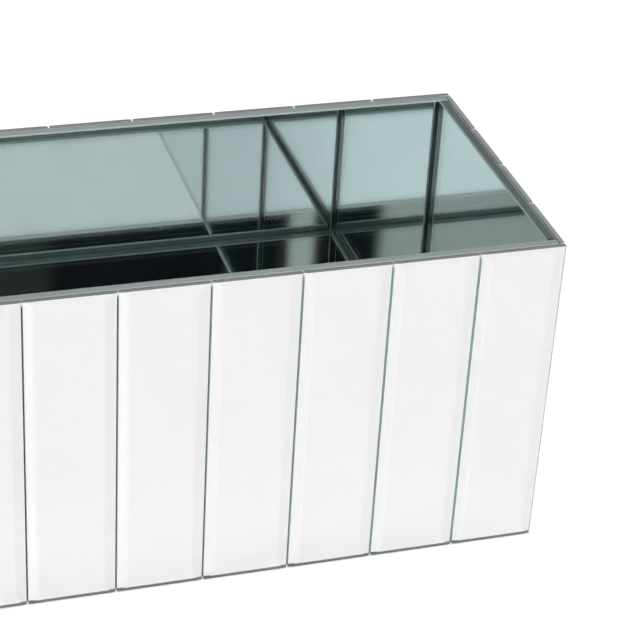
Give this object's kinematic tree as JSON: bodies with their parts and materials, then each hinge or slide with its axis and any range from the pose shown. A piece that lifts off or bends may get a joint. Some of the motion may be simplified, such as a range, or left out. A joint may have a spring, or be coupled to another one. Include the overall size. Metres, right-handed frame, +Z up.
{
  "type": "mirrored vanity box",
  "caption": "Long open-topped dressing-table box, faced outside with upright bevelled mirror strips and lined inside with mirror panels and a mirror floor.",
  "frame": {"origin": "middle of the underside of the felt pad, which is also the middle of the bounding box's bottom", "axes": "+Z up, +X along the length towards the right end, +Y from the front strips to the back strips"},
  "size_m": [0.3056, 0.0998, 0.0999],
  "materials": {
    "mirror_strip": "clear silvered glass strips with ground and polished bevels",
    "lining_mirror": "silvered float glass with polished arrised edges",
    "floor_mirror": "silvered float glass with polished arrised edges",
    "adhesive": "grey mirror adhesive",
    "felt": "short black felt"
  },
  "bodies": {
    "root": {"front_strip_1": "mirror_strip", "front_strip_2": "mirror_strip", "front_strip_3": "mirror_strip", "front_strip_4": "mirror_strip", "front_strip_5": "mirror_strip", "front_strip_6": "mirror_strip", "front_strip_7": "mirror_strip", "front_strip_8": "mirror_strip", "front_strip_9": "mirror_strip", "front_strip_10": "mirror_strip", "front_strip_11": "mirror_strip", "front_strip_12": "mirror_strip", "back_strip_1": "mirror_strip", "back_strip_2": "mirror_strip", "back_strip_3": "mirror_strip", "back_strip_4": "mirror_strip", "back_strip_5": "mirror_strip", "back_strip_6": "mirror_strip", "back_strip_7": "mirror_strip", "back_strip_8": "mirror_strip", "back_strip_9": "mirror_strip", "back_strip_10": "mirror_strip", "back_strip_11": "mirror_strip", "back_strip_12": "mirror_strip", "left_strip_1": "mirror_strip", "left_strip_2": "mirror_strip", "left_strip_3": "mirror_strip", "left_strip_4": "mirror_strip", "right_strip_1": "mirror_strip", "right_strip_2": "mirror_strip", "right_strip_3": "mirror_strip", "right_strip_4": "mirror_strip", "front_panel": "lining_mirror", "back_panel": "lining_mirror", "left_panel": "lining_mirror", "right_panel": "lining_mirror", "front_adhesive": "adhesive", "back_adhesive": "adhesive", "left_adhesive": "adhesive", "right_adhesive": "adhesive", "floor_mirror": "floor_mirror", "felt_pad": "felt"}
  },
  "joints": []
}
